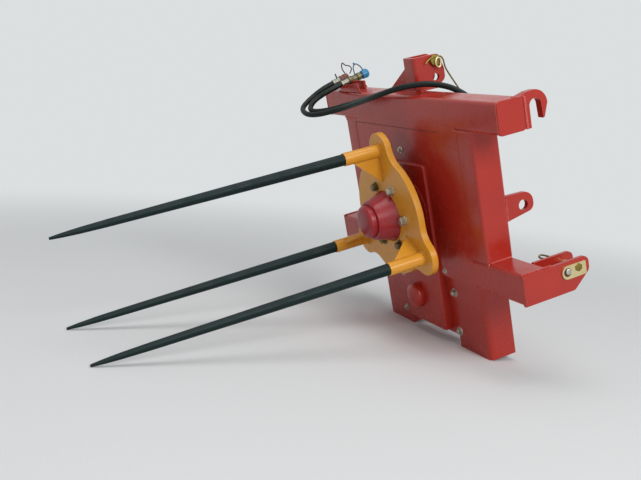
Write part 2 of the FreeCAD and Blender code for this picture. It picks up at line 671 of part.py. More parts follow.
def hub_bolts():
    """Bolt heads with washers in a ring around the hub."""
    bolts = []
    for k in range(HUB_BOLT_COUNT):
        turn = math.radians(360.0 / HUB_BOLT_COUNT * k)
        centre = V(HUB_BOLT_CIRCLE_RADIUS * math.cos(turn), ROTOR_PLATE_FRONT_Y,
                   ROTOR_Z + HUB_BOLT_CIRCLE_RADIUS * math.sin(turn))
        under_head = centre - Y_AXIS * HUB_WASHER
        washer = rod(HUB_WASHER_DIA / 2, centre, under_head)
        bolts.append(washer.fuse(prism(HUB_BOLT_FLATS, under_head, V(0, -1, 0), HUB_BOLT_HEAD)))
    return Part.makeCompound(bolts)


def rotor_shaft():
    front = ROTOR_PLATE_FRONT_Y - HUB_LENGTH
    return rod(SHAFT_DIA / 2, V(0, SHEET_RECESS - 2, ROTOR_Z), V(0, front, ROTOR_Z))


# ---------------------------------------------------------------- hydraulics
def hydraulic_motor():
    """Gerotor motor on the back of the chain case, with its ports in the end cover's top."""
    seat = V(MOTOR_X, TUBE, MOTOR_Z)
    end = TUBE + MOTOR_LENGTH
    flange = rod(MOTOR_FLANGE_RADIUS, seat, seat + Y_AXIS * MOTOR_FLANGE_THICKNESS)
    body = rod(MOTOR_RADIUS, seat, V(MOTOR_X, end, MOTOR_Z))
    ports = block(MOTOR_X - MOTOR_RADIUS, MOTOR_X + MOTOR_RADIUS, end - MOTOR_PORT_BLOCK, end,
                  MOTOR_Z, MOTOR_Z + MOTOR_PORT_TOP)
    return flange.fuse([body, ports]).removeSplitter()


def port(side):
    """Top of a motor port; side is -1 or 1."""
    return V(MOTOR_X + side * MOTOR_PORT_SPACING / 2, TUBE + MOTOR_LENGTH - MOTOR_PORT_BLOCK / 2,
             MOTOR_Z + MOTOR_PORT_TOP)


def hose_start(side):
    return port(side) + Z_AXIS * (PORT_NUT + FERRULE_LENGTH)


def coupling_point(start, distance):
    return start + COUPLING_AXIS * distance


def front_hose():
    """From the motor up behind the frame, over the beam, along its front and round to a coupling."""
    start = hose_start(-1)
    return hose("front_hose", [
        start, start + Z_AXIS * 83,
        V(-20, 176, 460), V(80, 166, 570), V(185, 160, 665), V(258, 158, 755),
        V(266, 152, 852), V(213, 124, 899), V(153, 105, 922), V(110, 49, 938),
        V(55, -18, 936), V(-47, -66, 909), V(-189, -65, 881), V(-305, -77, 856),
        V(-388, -166, 844), V(-476, -165, 864), V(-515, -105, 890),
        coupling_point(FRONT_COUPLING, -39), FRONT_COUPLING,
    ])


def rear_hose():
    """Beside the front hose, on the side towards the beam."""
    start = hose_start(1)
    return hose("rear_hose", [
        start, start + Z_AXIS * 83,
        V(24, 196, 450), V(110, 198, 560), V(190, 194, 665), V(238, 186, 762),
        V(238, 167, 850), V(188, 139, 896), V(132, 120, 917), V(86, 65, 936),
        V(25, -12, 930), V(-58, -36, 911), V(-189, -34, 887), V(-299, -50, 867),
        V(-372, -109, 853), V(-432, -150, 857), V(-476, -108, 887),
        coupling_point(REAR_COUPLING, -48.5), REAR_COUPLING,
    ])


def end_ferrules():
    """Pressed ferrules on both hoses' ends, with a swivel nut at each motor port."""
    pieces = []
    for side in (-1, 1):
        base = port(side)
        under = base + Z_AXIS * PORT_NUT
        nut = prism(PORT_NUT_FLATS, base, Z_AXIS, PORT_NUT)
        pieces.append(nut.fuse(rod(FERRULE_DIA / 2, under, under + Z_AXIS * FERRULE_LENGTH)))
    for start in (FRONT_COUPLING, REAR_COUPLING):
        pieces.append(rod(FERRULE_DIA / 2, start, coupling_point(start, FERRULE_LENGTH)))
    return Part.makeCompound(pieces)


def rear_coupling():
    """Female quick coupling: a nut on the ferrule and a sleeve."""
    base = coupling_point(REAR_COUPLING, FERRULE_LENGTH)
    sleeve = coupling_point(REAR_COUPLING, FERRULE_LENGTH + COUPLING_NUT)
    nut = prism(COUPLING_NUT_FLATS, base, COUPLING_AXIS, COUPLING_NUT)
    return nut.fuse(rod(COUPLING_DIA / 2, sleeve, sleeve + COUPLING_AXIS * REAR_COUPLING_LENGTH))


def blue_cap():
    start = coupling_point(REAR_COUPLING, FERRULE_LENGTH + COUPLING_NUT + REAR_COUPLING_LENGTH)
    return rod(BLUE_CAP_DIA / 2, start, start + COUPLING_AXIS * BLUE_CAP_LENGTH)


def red_cap():
    """Dust cap on the front hose's male coupling."""
    start = coupling_point(FRONT_COUPLING, FERRULE_LENGTH)
    return rod(RED_CAP_DIA / 2, start, start + COUPLING_AXIS * RED_CAP_LENGTH)


def coupling_holder():
    """Plate across the beam's top with a saddle for each coupling."""
    start = HOLDER_INSET - BEAM_HALF
    plate = block(start, start + HOLDER_LENGTH, HOLDER_Y, HOLDER_Y + HOLDER_THICKNESS,
                  BEAM_TOP_Z, BEAM_TOP_Z + HOLDER_HEIGHT)
    return plate.cut(red_cap()).cut(rear_coupling())


FRAME_NODES = {
    "top_beam": top_beam(),
    "beam_end_caps": beam_end_caps(),
    "right_post": right_post(),
    "left_post": mirrored(right_post()),
    "lower_crossbeam": lower_crossbeam(),
    "right_arm": right_arm(),
    "left_arm": mirrored(right_arm()),
    "front_sheet": front_sheet(),
    "right_leg_back": right_leg_back(),
    "left_leg_back": mirrored(right_leg_back()),
    "chain_cover": chain_cover(),
    "chain_case": chain_case(),
    "shaft_cap": shaft_cap(),
    "bearing_housing": bearing_housing(),
    "right_ears": right_ears(),
    "left_ears": mirrored(right_ears()),
    "right_lower_pin": right_lower_pin(),
    "left_lower_pin": mirrored(right_lower_pin()),
    "top_link_bracket": top_link_bracket(),
    "bracket_stay": bracket_stay(),
    "top_link_pin": top_link_pin(),
    "right_euro_hook": right_euro_hook(),
    "left_euro_hook": mirrored(right_euro_hook()),
    "right_euro_eye": right_euro_eye(),
    "left_euro_eye": mirrored(right_euro_eye()),
    "hydraulic_motor": hydraulic_motor(),
    "front_hose": front_hose(),
    "rear_hose": rear_hose(),
    "end_ferrules": end_ferrules(),
    "rear_coupling": rear_coupling(),
    "blue_cap": blue_cap(),
    "red_cap": red_cap(),
    "coupling_holder": coupling_holder(),
}
HOSES = ("front_hose", "rear_hose")
ROTOR_NODES = {
    "rotor_plate": rotor_plate(),
    "tine_sockets": tine_sockets(),
    "socket_gussets": socket_gussets(),
    "tine_nuts": tine_nuts(),
    "upper_tine": tine(TINE_ANGLES[0]),
    "left_tine": tine(TINE_ANGLES[1]),
    "right_tine": tine(TINE_ANGLES[2]),
    "hub": hub(),
    "hub_cap": hub_cap(),
    "hub_bolts": hub_bolts(),
    "rotor_shaft": rotor_shaft(),
}

# ---------------------------------------------------------------- parked pose
# The implement leans on the legs' front edges and on the two lower tips, at one height.
PIVOT_Y = SHEET_RECESS
LOWEST_TIP = tine_axis_point(TINE_ANGLES[1], SOCKET_FRONT_Y - TINE_LENGTH) - Z_AXIS * (TINE_TIP_DIA / 2)
LEAN = math.degrees(math.atan2(LOWEST_TIP.z, PIVOT_Y - LOWEST_TIP.y))

NODES = {}
for name, shape in list(FRAME_NODES.items()) + list(ROTOR_NODES.items()):
    leant = shape.copy()
    leant.rotate(V(0, PIVOT_Y, 0), X_AXIS, LEAN)
    NODES[name] = leant

# The origin is on the ground, under the middle of the implement without its hoses.
BOX = FreeCAD.BoundBox()
for name, shape in NODES.items():
    if name not in HOSES:
        BOX.add(shape.optimalBoundingBox(False))
SHIFT = V(0, -(BOX.YMin + BOX.YMax) / 2, 0)

os.makedirs("parts", exist_ok=True)
for name, shape in NODES.items():
    shape.translate(SHIFT)
    shape.exportStep(os.path.join("parts", name + ".step"))
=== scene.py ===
import json
import math

import bmesh
import bpy
from mathutils import Matrix, Vector


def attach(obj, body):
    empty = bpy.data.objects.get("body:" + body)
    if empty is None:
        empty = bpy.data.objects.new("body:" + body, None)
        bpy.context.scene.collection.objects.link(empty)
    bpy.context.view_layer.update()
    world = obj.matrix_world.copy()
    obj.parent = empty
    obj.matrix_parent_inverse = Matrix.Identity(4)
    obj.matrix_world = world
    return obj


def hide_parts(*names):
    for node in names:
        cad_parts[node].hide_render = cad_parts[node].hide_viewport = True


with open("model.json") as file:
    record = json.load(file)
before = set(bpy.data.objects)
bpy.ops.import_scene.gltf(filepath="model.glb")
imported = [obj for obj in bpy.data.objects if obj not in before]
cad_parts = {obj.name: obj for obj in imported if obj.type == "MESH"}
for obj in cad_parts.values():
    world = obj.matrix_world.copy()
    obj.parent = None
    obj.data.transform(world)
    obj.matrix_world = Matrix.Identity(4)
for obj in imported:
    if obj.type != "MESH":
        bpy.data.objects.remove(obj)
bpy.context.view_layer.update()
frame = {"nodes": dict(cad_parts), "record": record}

# The place where the implement stands: a sealed, pale grey floor. It fades into the white room
# a few metres away, so that no far edge shows.


def linear(code):
    """Linear colour with alpha from an sRGB hex code."""
    channels = [int(code[i:i + 2], 16) / 255 for i in (1, 3, 5)]
    return [c / 12.92 if c <= 0.04045 else ((c + 0.055) / 1.055) ** 2.4 for c in channels] + [1.0]


def node(material, kind, settings=None, links=None):
    """Adds one shader node, fills in its settings and links its inputs."""
    made = material.node_tree.nodes.new(kind)
    for name, value in (settings or {}).items():
        if isinstance(name, int) or name in made.inputs:
            made.inputs[name].default_value = value
        else:
            setattr(made, name, value)
    for name, source in (links or {}).items():
        material.node_tree.links.new(source, made.inputs[name])
    return made


def new_material(name):
    material = bpy.data.materials.new(name)
    material.use_nodes = True
    material.node_tree.nodes.clear()
    return material


room_white = "#dcdfe0"
floor_paint = new_material("sealed floor, matt pale grey")
floor_where = node(floor_paint, "ShaderNodeTexCoord").outputs["Object"]
floor_grain = node(floor_paint, "ShaderNodeTexNoise", {"Scale": 1 / 0.006, "Detail": 2.0},
                   {"Vector": floor_where})
floor_tone = node(floor_paint, "ShaderNodeMix", {"data_type": "RGBA", 6: linear("#d9dcdd"), 7: linear("#e1e3e3")},
                  {0: floor_grain.outputs["Fac"]})
floor_surface = node(floor_paint, "ShaderNodeBsdfPrincipled", {"Roughness": 0.8},
                     {"Base Color": floor_tone.outputs[2]})
floor_far = node(floor_paint, "ShaderNodeEmission", {"Color": linear(room_white), "Strength": 1.0})
floor_reach = node(floor_paint, "ShaderNodeVectorMath", {"operation": "LENGTH"}, {0: floor_where})
floor_fade = node(floor_paint, "ShaderNodeMapRange",
                  {"interpolation_type": "SMOOTHSTEP", "From Min": 1.6, "From Max": 4.2},
                  {"Value": floor_reach.outputs["Value"]})
floor_mix = node(floor_paint, "ShaderNodeMixShader", links={
    0: floor_fade.outputs[0], 1: floor_surface.outputs[0], 2: floor_far.outputs[0]})
node(floor_paint, "ShaderNodeOutputMaterial", links={"Surface": floor_mix.outputs[0]})

floor_shape = bmesh.new()
bmesh.ops.create_grid(floor_shape, x_segments=1, y_segments=1, size=20.0)
floor_mesh = bpy.data.meshes.new("floor")
floor_shape.to_mesh(floor_mesh)
floor_shape.free()
floor = bpy.data.objects.new("floor", floor_mesh)
bpy.context.collection.objects.link(floor)
floor.data.materials.append(floor_paint)

# The camera stands at chest height off the implement's right front and looks a little down.
# It is turned a little about its own axis.
camera_yaw = math.radians(64.428)
camera_pitch = math.radians(-9.004)
camera_roll = math.radians(4.982)
camera_place = Vector((2.7874, -1.2212, 0.8397))
camera_data = bpy.data.cameras.new("camera")
camera_data.sensor_width = 36.0
camera_data.lens = 51.1
camera = bpy.data.objects.new("camera", camera_data)
bpy.context.collection.objects.link(camera)
aim = Matrix.Rotation(camera_yaw, 4, "Z") @ Matrix.Rotation(math.radians(90) + camera_pitch, 4, "X")
camera.matrix_world = Matrix.Translation(camera_place) @ aim @ Matrix.Rotation(camera_roll, 4, "Z")
bpy.context.scene.camera = camera
bpy.context.scene.view_settings.view_transform = "Standard"

# Studio light: a plain white room, a large soft lamp on the right and a larger one above.
# The room lights the object weakly and shows at full white behind it and in its reflections.
world = bpy.data.worlds.new("room")
bpy.context.scene.world = world
world.use_nodes = True
world.node_tree.nodes.clear()
room_fill = node(world, "ShaderNodeBackground", {"Color": linear("#eceeef"), "Strength": 0.32})
room_shown = node(world, "ShaderNodeBackground", {"Color": linear(room_white), "Strength": 1.0})
room_ray = node(world, "ShaderNodeLightPath")
seen_first = node(world, "ShaderNodeMath", {"operation": "MAXIMUM"},
                  {0: room_ray.outputs["Is Camera Ray"], 1: room_ray.outputs["Is Glossy Ray"]})
seen_directly = node(world, "ShaderNodeMath", {"operation": "MAXIMUM"},
                     {0: seen_first.outputs[0], 1: room_ray.outputs["Is Transmission Ray"]})
room_mix = node(world, "ShaderNodeMixShader", links={
    0: seen_directly.outputs[0], 1: room_fill.outputs[0], 2: room_shown.outputs[0]})
node(world, "ShaderNodeOutputWorld", links={"Surface": room_mix.outputs[0]})


def soft_lamp(name, place, target, width, height, watts):
    data = bpy.data.lights.new(name, "AREA")
    data.shape = "RECTANGLE"
    data.size = width
    data.size_y = height
    data.energy = watts
    lamp = bpy.data.objects.new(name, data)
    direction = Vector(target) - Vector(place)
    lamp.matrix_world = Matrix.Translation(place) @ direction.to_track_quat("-Z", "Y").to_matrix().to_4x4()
    bpy.context.collection.objects.link(lamp)


soft_lamp("key lamp", (7.0, 0.6, 4.2), (0.0, 0.2, 0.4), 4.0, 3.4, 360.0)
soft_lamp("top lamp", (0.6, -0.8, 7.0), (0.0, 0.1, 0.4), 5.0, 5.0, 200.0)

# The welded frame: square tube with 12 mm corners, folded sheet and flame-cut plate, welded,
# then sprayed with glossy red enamel. Its cut edges are eased by the paint.
body_of_node = {}
for body_name, node_names in frame["record"]["behaviour"]["bodies"].items():
    for node_name in node_names:
        body_of_node[node_name] = body_name


def enamel(name, code, deep_code, roughness, peel=0.10, index=1.5):
    """Sprayed enamel: orange peel about 4 mm across, cloudy tone over 150 mm, a dull film in places."""
    material = new_material(name)
    where = node(material, "ShaderNodeTexCoord").outputs["Object"]
    clouds = node(material, "ShaderNodeTexNoise", {"Scale": 1 / 0.150, "Detail": 3.0}, {"Vector": where})
    tone = node(material, "ShaderNodeMix", {"data_type": "RGBA", 6: linear(code), 7: linear(deep_code)},
                {0: clouds.outputs["Fac"]})
    grain = node(material, "ShaderNodeTexNoise", {"Scale": 1 / 0.004, "Detail": 1.0}, {"Vector": where})
    skin = node(material, "ShaderNodeBump", {"Strength": peel, "Distance": 0.0003},
                {"Height": grain.outputs["Fac"]})
    smears = node(material, "ShaderNodeTexNoise", {"Scale": 1 / 0.045, "Detail": 4.0}, {"Vector": where})
    dull = node(material, "ShaderNodeMapRange",
                {"From Min": 0.35, "From Max": 0.75, "To Min": roughness, "To Max": roughness + 0.14},
                {"Value": smears.outputs["Fac"]})
    paint = node(material, "ShaderNodeBsdfPrincipled", {"IOR": index},
                 {"Base Color": tone.outputs[2], "Roughness": dull.outputs[0], "Normal": skin.outputs[0]})
    node(material, "ShaderNodeOutputMaterial", links={"Surface": paint.outputs[0]})
    return material


def finished(name, material, edge=0.0010, smooth=32.0):
    """A node's own shape, with its edges eased, its bends smooth and its finish on."""
    shape = bmesh.new()
    shape.from_mesh(frame["nodes"][name].data)
    bmesh.ops.remove_doubles(shape, verts=shape.verts, dist=0.00002)
    bmesh.ops.dissolve_limit(shape, angle_limit=math.radians(0.4), verts=shape.verts, edges=shape.edges)
    mesh = bpy.data.meshes.new(name + "_painted")
    shape.to_mesh(mesh)
    shape.free()
    mesh.materials.append(material)
    mesh.shade_smooth()
    mesh.set_sharp_from_angle(angle=math.radians(smooth))
    made = bpy.data.objects.new(name + "_painted", mesh)
    bpy.context.collection.objects.link(made)
    if edge:
        ease = made.modifiers.new("eased edges", "BEVEL")
        ease.width = edge
        ease.segments = 2
        ease.limit_method = "ANGLE"
        ease.angle_limit = math.radians(smooth)
        ease.harden_normals = True
    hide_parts(name)
    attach(made, body_of_node[name])


red_enamel = enamel("red enamel, sprayed gloss", "#b52e20", "#a1241a", 0.20)
for name in ("top_beam", "beam_end_caps", "right_post", "left_post", "lower_crossbeam",
             "right_arm", "left_arm", "front_sheet", "right_leg_back", "left_leg_back",
             "chain_case", "bearing_housing", "right_ears", "left_ears",
             "top_link_bracket", "bracket_stay", "right_euro_hook", "left_euro_hook",
             "right_euro_eye", "left_euro_eye", "coupling_holder"):
    finished(name, red_enamel)

# Weld beads in the frame's open seams, laid by hand with wire, 4 to 11 mm wide and rippled.
# The enamel is thin and glossy on them, and its lighter red is partly painted highlight. Across the posts' ends
# they are ground flush.
lean = math.radians(16.46191)
leaning = (Matrix.Translation((0.0, 0.6272007, 0.0)) @ Matrix.Rotation(lean, 4, "X")
           @ Matrix.Translation((0.0, -0.018, 0.0)))


def piece(name, shape, material, body="frame", stands_for=(), smooth=32.0):
    """An object of a shape that was made with the implement upright, leant as it stands."""
    bmesh.ops.remove_doubles(shape, verts=shape.verts, dist=0.00001)
    bmesh.ops.recalc_face_normals(shape, faces=shape.faces)
    bmesh.ops.transform(shape, matrix=leaning, verts=shape.verts)
    mesh = bpy.data.meshes.new(name)
    shape.to_mesh(mesh)
    shape.free()
    mesh.materials.append(material)
    mesh.shade_smooth()
    mesh.set_sharp_from_angle(angle=math.radians(smooth))
    made = bpy.data.objects.new(name, mesh)
    bpy.context.collection.objects.link(made)
    if stands_for:
        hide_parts(*stands_for)
    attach(made, body)


def bead(shape, points, width=0.005, closed=False):
    """Ripples along a line of points, in metres, one after the other."""
    ends = list(zip(points, points[1:] + points[:1])) if closed else list(zip(points, points[1:]))
    for start, end in ends:
        start, end = Vector(start), Vector(end)
        run = end - start
        count = max(1, round(run.length / (width * 0.62)))
        turn = run.to_track_quat("Z", "Y").to_matrix().to_4x4()
        for k in range(count + 1):
            spot = Matrix.Translation(start + run * (k / count)) @ turn
            squeeze = Matrix.Diagonal((1.0, 1.0, 0.75, 1.0))
            bmesh.ops.create_icosphere(shape, subdivisions=1, radius=width / 2, matrix=spot @ squeeze)


rotor_axis_z = 0.496


def ring(radius, y, x=0.0, z=rotor_axis_z, count=40):
    """Points round an axis along Y."""
    return [(x + radius * math.cos(2 * math.pi * k / count), y,
             z + radius * math.sin(2 * math.pi * k / count)) for k in range(count)]


# The welds' lighter red is partly thin paint over the ripples and partly painted highlight.
weld_enamel_and_painted_highlight = enamel("red enamel over weld ripples, thin and glossy", "#cf5a50", "#bf463d", 0.14,
                     peel=0.05)
frame_welds = bmesh.new()
for side in (-1, 1):
    for y in (-0.0005, 0.1005):
        bead(frame_welds, [(side * 0.335, y, 0.803), (side * 0.435, y, 0.803)], 0.0045)
    for x in (0.3345, 0.4355):
        bead(frame_welds, [(side * x, 0.010, 0.8025), (side * x, 0.090, 0.8025)], 0.006)
    bead(frame_welds, [(side * 0.4355, 0.012, 0.3735), (side * 0.4355, 0.088, 0.3735)], 0.009)
    bead(frame_welds, [(side * 0.437, 0.000, 0.272), (side * 0.437, 0.000, 0.370)], 0.004)
    bead(frame_welds, [(side * 0.604, 0.004, 0.3728), (side * 0.604, 0.112, 0.3728)], 0.007)
    for x in (0.602, 0.528, 0.5395):
        bead(frame_welds, [(side * x, 0.1005, 0.274), (side * x, 0.1005, 0.368)], 0.006)
    for x in (0.4100, 0.4280):
        bead(frame_welds, [(side * x, 0.1005, 0.495), (side * x, 0.1005, 0.561)], 0.009)
    for x in (0.560, 0.586):
        bead(frame_welds, [(side * x, 0.1005, 0.806), (side * x, 0.1005, 0.898)], 0.011)
        bead(frame_welds, [(side * x, 0.074, 0.9035), (side * x, 0.098, 0.9035)], 0.005)
    bead(frame_welds, [(side * 0.5868, 0.0985, 0.808), (side * 0.5868, 0.0985, 0.900)], 0.0085)
    bead(frame_welds, [(side * 0.5803, 0.012, 0.8025), (side * 0.5803, 0.088, 0.8025),
                       (side * 0.5803, 0.0985, 0.806), (side * 0.5803, 0.1005, 0.815),
                       (side * 0.5803, 0.1005, 0.891), (side * 0.5803, 0.0985, 0.900),
                       (side * 0.5803, 0.088, 0.9035), (side * 0.5803, 0.012, 0.9035),
                       (side * 0.5803, 0.0015, 0.900), (side * 0.5803, -0.0005, 0.891),
                       (side * 0.5803, -0.0005, 0.815), (side * 0.5803, 0.0015, 0.806)],
         0.0045, closed=True)
    bead(frame_welds, [(side * 0.0395, 0.078, 0.9035), (side * 0.0395, 0.148, 0.9035)], 0.006)
    bead(frame_welds, [(side * 0.0265, 0.080, 0.9035), (side * 0.0265, 0.144, 0.9035)], 0.005)
bead(frame_welds, [(-0.027, 0.0635, 0.9035), (0.027, 0.0635, 0.9035)], 0.006)
bead(frame_welds, [(-0.178, 0.0775, 0.9035), (-0.044, 0.0775, 0.9035)], 0.005)
bead(frame_welds, [(-0.0395, 0.0775, 0.908), (-0.0395, 0.0775, 0.984)], 0.005)
bead(frame_welds, [(-0.538, 0.0495, 0.9035), (-0.332, 0.0495, 0.9035)], 0.0045)
flush_welds = bmesh.new()
for side in (1, -1):
    for height in (0.3685, 0.8060):
        bead(flush_welds, [(side * 0.3480, 0.0048, height), (side * 0.4330, 0.0048, height)], 0.0100)
piece("flush_ground_welds", flush_welds, red_enamel)
piece("frame_welds", frame_welds, weld_enamel_and_painted_highlight, smooth=60.0)

# The front sheet lies flush between the posts, and a dark strip of painted shade marks the open joint round it.
# A raised cover hides the drive chain, and a pressed dome on it covers the motor's shaft.


def flat_plate(outline, front, back):
    """A plate of that (x, z) outline between two depths."""
    shape = bmesh.new()
    corners = [shape.verts.new((x, front, z)) for x, z in outline]
    face = shape.faces.new(corners)
    out = bmesh.ops.extrude_face_region(shape, geom=[face])["geom"]
    bmesh.ops.translate(shape, vec=(0.0, back - front, 0.0),
                        verts=[part for part in out if isinstance(part, bmesh.types.BMVert)])
    return shape


def join(shape, other):
    """Adds the other shape to this one."""
    loose = bpy.data.meshes.new("loose")
    other.to_mesh(loose)
    other.free()
    shape.from_mesh(loose)
    bpy.data.meshes.remove(loose)


skin = flat_plate([(-0.347, 0.272), (0.347, 0.272), (0.347, 0.8155),
                   (-0.430, 0.8155), (-0.430, 0.790), (-0.347, 0.790)], -0.0002, 0.017)
piece("front_skin", skin, red_enamel)
# A dark strip along the sheet's left and top joint is painted shade; the same material is the painted shade at
# the pin ends.
painted_shade = enamel("painted shade, dark red-brown", "#4a1512", "#3a100e", 0.7)
joint = flat_plate([(-0.3508, 0.560), (-0.3485, 0.560), (-0.3485, 0.7890), (0.250, 0.7890),
                    (0.250, 0.7908), (-0.3508, 0.7912)], -0.0005, 0.004)
piece("front_sheet_joint_painted_shade", joint, painted_shade)
# Two thin light lines at the right post's inner edge are painted highlight.
joint_gleam = bmesh.new()
bead(joint_gleam, [(0.3475, -0.0006, 0.700), (0.3475, -0.0006, 0.790)], 0.0022)
bead(joint_gleam, [(0.3350, -0.0006, 0.735), (0.3350, -0.0006, 0.790)], 0.0018)
piece("front_sheet_edge_painted_highlight", joint_gleam, weld_enamel_and_painted_highlight, smooth=60.0)

cover = bmesh.new()
bmesh.ops.create_cube(cover, size=1.0, matrix=Matrix.Translation((0.0, 0.003, 0.3615))
                      @ Matrix.Diagonal((0.256, 0.030, 0.611, 1.0)))
upright = [e for e in cover.edges if abs((e.verts[0].co - e.verts[1].co).normalized().y) > 0.9]
bmesh.ops.bevel(cover, geom=upright, offset=0.012, segments=5, profile=0.5, affect="EDGES", material=-1)
rim = [e for e in cover.edges if all(v.co.y < -0.0119 for v in e.verts)]
bmesh.ops.bevel(cover, geom=rim, offset=0.005, segments=4, profile=0.5, affect="EDGES", material=-1)
piece("chain_cover_pressed", cover, red_enamel, stands_for=("chain_cover",))


def spun(profile, x=0.0, z=0.0, steps=72):
    """A shape turned about an axis along Y, from (radius, y) points that close it."""
    shape = bmesh.new()
    corners = [shape.verts.new((radius, y, 0.0)) for radius, y in profile]
    edges = [shape.edges.new(pair) for pair in zip(corners, corners[1:])]
    bmesh.ops.spin(shape, geom=corners + edges, cent=(0, 0, 0), axis=(0, 1, 0),
                   angle=math.radians(360), steps=steps, use_merge=True, use_duplicate=False)
    bmesh.ops.remove_doubles(shape, verts=shape.verts, dist=0.00001)
    bmesh.ops.translate(shape, vec=(x, 0.0, z), verts=shape.verts)
    return shape


def arc(centre, radius, start, end, count=8):
    """(radius, y) points of an arc in a turned profile; degrees from the outward radius."""
    return [(centre[0] + radius * math.cos(math.radians(start + (end - start) * k / count)),
             centre[1] + radius * math.sin(math.radians(start + (end - start) * k / count)))
            for k in range(count + 1)]


dome = [(0.0, -0.011), (0.046, -0.011), (0.046, -0.024)]
dome += arc((0.030, -0.025), 0.016, 0.0, -58.0, 6)
dome += [(0.0300, -0.0425), (0.020, -0.0450), (0.010, -0.0464), (0.0, -0.047)]
piece("shaft_cap_painted", spun(dome, -0.038, 0.158), red_enamel, stands_for=("shaft_cap",))

# The rotor: a 25 mm flame-cut plate with three sockets of thick tube and their gussets,
# all ochre enamel.
ochre_enamel = enamel("ochre enamel, sprayed gloss", "#db992b", "#cd8b26", 0.25)
finished("rotor_plate", ochre_enamel, edge=0.0035)
finished("socket_gussets", ochre_enamel, edge=0.0012)
finished("tine_sockets", ochre_enamel, edge=0.0016)

rotor_welds = bmesh.new()
tine_circle = 0.236
tine_spots = []
for k in range(3):
    turn = math.radians(90 + 120 * k)
    tine_spots.append((tine_circle * math.cos(turn), rotor_axis_z + tine_circle * math.sin(turn)))
for x, z in tine_spots:
    bead(rotor_welds, ring(0.0245, -0.1065, x, z, 30), 0.009, closed=True)
bead(rotor_welds, ring(0.0935, -0.1060, count=60), 0.007, closed=True)
for k in range(3):
    turn = math.radians(90 + 120 * k)
    out = Vector((math.cos(turn), 0.0, math.sin(turn)))
    across = Vector((-math.sin(turn), 0.0, math.cos(turn)))
    middle = Vector((0.0, -0.1055, rotor_axis_z))
    for side in (-1, 1):
        bead(rotor_welds, [middle + out * 0.126 + across * side * 0.0055,
                           middle + out * 0.210 + across * side * 0.0055], 0.006)
piece("rotor_welds", rotor_welds, ochre_enamel, body="rotor", smooth=60.0)

# Three forged bale tines: a long taper, fuller near the blunt point, dipped in green-black
# enamel. A straight shank goes through the socket and takes the nut behind the plate.
tine_enamel = enamel("tine enamel, dark green-black", "#05201f", "#031716", 0.48, peel=0.35,
                     index=1.32)
tine_profile = [(0.0, -0.054), (0.0125, -0.054), (0.014, -0.0555), (0.014, -0.240),
                (0.0192, -0.240), (0.020, -0.2412), (0.0165, -0.700), (0.0127, -1.060),
                (0.0106, -1.150), (0.0078, -1.205), (0.0054, -1.234), (0.0045, -1.2445),
                (0.0040, -1.246), (0.0, -1.246)]
for (x, z), name in zip(tine_spots, ("upper_tine", "left_tine", "right_tine")):
    piece(name + "_forged", spun(tine_profile, x, z, 48), tine_enamel, body="rotor", stands_for=(name,))

# The hub: a turned bell with a shoulder, welded through the plate, with a grease cap on its nose.
# Both are the frame's red, a little deeper.
hub_enamel = enamel("hub enamel, deep red", "#a4202a", "#8a1820", 0.26)
hub_profile = [(0.030, -0.066), (0.1285, -0.066), (0.130, -0.0675), (0.130, -0.080), (0.0905, -0.080),
               (0.0905, -0.107), (0.0885, -0.112), (0.0700, -0.172)]
hub_profile += arc((0.0655, -0.1735), 0.0048, 10.0, -80.0, 6)
hub_profile += [(0.0610, -0.1790), (0.0595, -0.1765), (0.030, -0.1765), (0.030, -0.066)]
piece("hub_painted", spun(hub_profile, 0.0, rotor_axis_z, 96), hub_enamel, body="rotor",
      stands_for=("hub",))
cap_profile = [(0.0, -0.176), (0.0580, -0.176), (0.0580, -0.188)]
cap_profile += arc((0.0440, -0.190), 0.0140, 8.0, -78.0, 8)
cap_profile += [(0.0440, -0.2045), (0.0380, -0.2060), (0.0, -0.2060)]
piece("hub_cap_painted", spun(cap_profile, 0.0, rotor_axis_z), hub_enamel, body="rotor",
      stands_for=("hub_cap",))

# Six zinc-plated hexagon bolts with washers hold the plate to the hub's flange. Two are bright and
# four, away from the light, are darker brownish zinc as painted shade. The tines' nuts and the bare turned shaft
# are behind the plate.


def plating(name, code, other_code, roughness):
    """Zinc plate: metal with a blotchy passivation film, 12 mm blotches and fine scuffs."""
    material = new_material(name)
    where = node(material, "ShaderNodeTexCoord").outputs["Object"]
    blotches = node(material, "ShaderNodeTexNoise", {"Scale": 1 / 0.012, "Detail": 3.0}, {"Vector": where})
    tone = node(material, "ShaderNodeMix", {"data_type": "RGBA", 6: linear(code), 7: linear(other_code)},
                {0: blotches.outputs["Fac"]})
    scuffs = node(material, "ShaderNodeTexNoise", {"Scale": 1 / 0.0015, "Detail": 2.0}, {"Vector": where})
    wear = node(material, "ShaderNodeMapRange", {"To Min": roughness, "To Max": roughness + 0.2},
                {"Value": scuffs.outputs["Fac"]})
    metal = node(material, "ShaderNodeBsdfPrincipled", {"Metallic": 1.0},
                 {"Base Color": tone.outputs[2], "Roughness": wear.outputs[0]})
    node(material, "ShaderNodeOutputMaterial", links={"Surface": metal.outputs[0]})
    return material


bright_zinc = plating("bright zinc plate", "#c9c8bf", "#a9a595", 0.28)
yellow_zinc = plating("yellow chromate zinc plate", "#e6d8a8", "#cbb987", 0.32)


